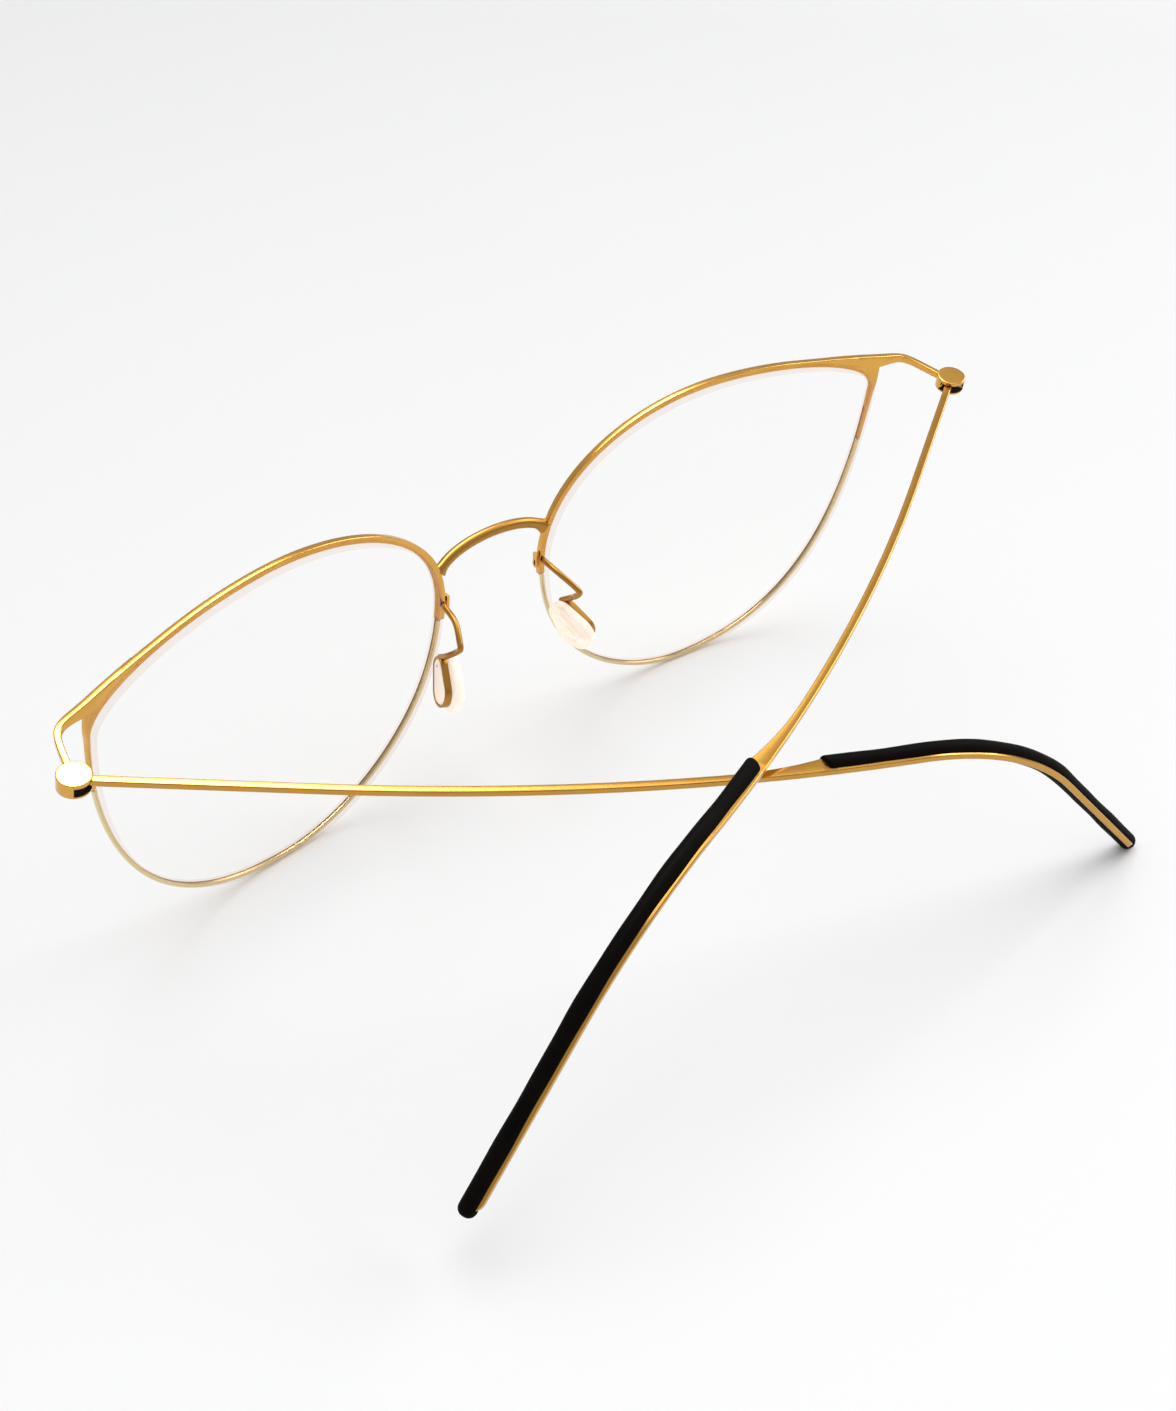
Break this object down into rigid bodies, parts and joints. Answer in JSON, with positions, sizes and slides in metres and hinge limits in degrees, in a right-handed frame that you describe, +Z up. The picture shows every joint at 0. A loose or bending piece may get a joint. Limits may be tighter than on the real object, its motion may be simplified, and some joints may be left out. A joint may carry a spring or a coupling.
{
  "type": "eyeglasses",
  "caption": "Cat-eye eyeglasses with a slim gold metal frame, clear lenses, silicone nose pads, pivoting temples and black tip sleeves, half folded on a table.",
  "frame": {"origin": "on the table, at the middle of the object's box in plan", "axes": "+X towards the wearer's left, +Y back towards the ears, +Z up from the table; the front of the frame faces -Y"},
  "size_m": [0.1382, 0.0708, 0.0459],
  "materials": {
    "gold_metal": "satin gold plating on titanium",
    "lens": "clear, polished",
    "pad_silicone": "translucent, soft sheen",
    "sleeve_silicone": "black, soft sheen",
    "pin_steel": "turned",
    "washer_nylon": "matte"
  },
  "bodies": {
    "front": {"bridge": "gold_metal", "left_upper_rim": "gold_metal", "left_lower_rim": "gold_metal", "left_lens": "lens", "left_rim_lock": "gold_metal", "left_nose_arm": "gold_metal", "left_nose_pad": "pad_silicone", "left_hinge_barrel": "gold_metal", "left_hinge_pin": "pin_steel", "left_hinge_washer": "washer_nylon", "left_hinge_cap": "gold_metal", "right_upper_rim": "gold_metal", "right_lower_rim": "gold_metal", "right_lens": "lens", "right_rim_lock": "gold_metal", "right_nose_arm": "gold_metal", "right_nose_pad": "pad_silicone", "right_hinge_barrel": "gold_metal", "right_hinge_pin": "pin_steel", "right_hinge_washer": "washer_nylon", "right_hinge_cap": "gold_metal"},
    "left_arm": {"left_temple": "gold_metal", "left_tip_sleeve": "sleeve_silicone"},
    "right_arm": {"right_temple": "gold_metal", "right_tip_sleeve": "sleeve_silicone"}
  },
  "joints": [
    {"name": "left_temple_hinge", "type": "hinge", "parent": "front", "child": "left_arm", "pos_m": [0.0671, -0.01779, 0.04074], "axis": [-0.0416, 0.1626, 0.9858], "range_deg": [-62.4, 21.6]},
    {"name": "right_temple_hinge", "type": "hinge", "parent": "front", "child": "right_arm", "pos_m": [-0.0671, -0.01779, 0.04074], "axis": [-0.0416, -0.1626, -0.9858], "range_deg": [-64.5, 19.5]}
  ]
}
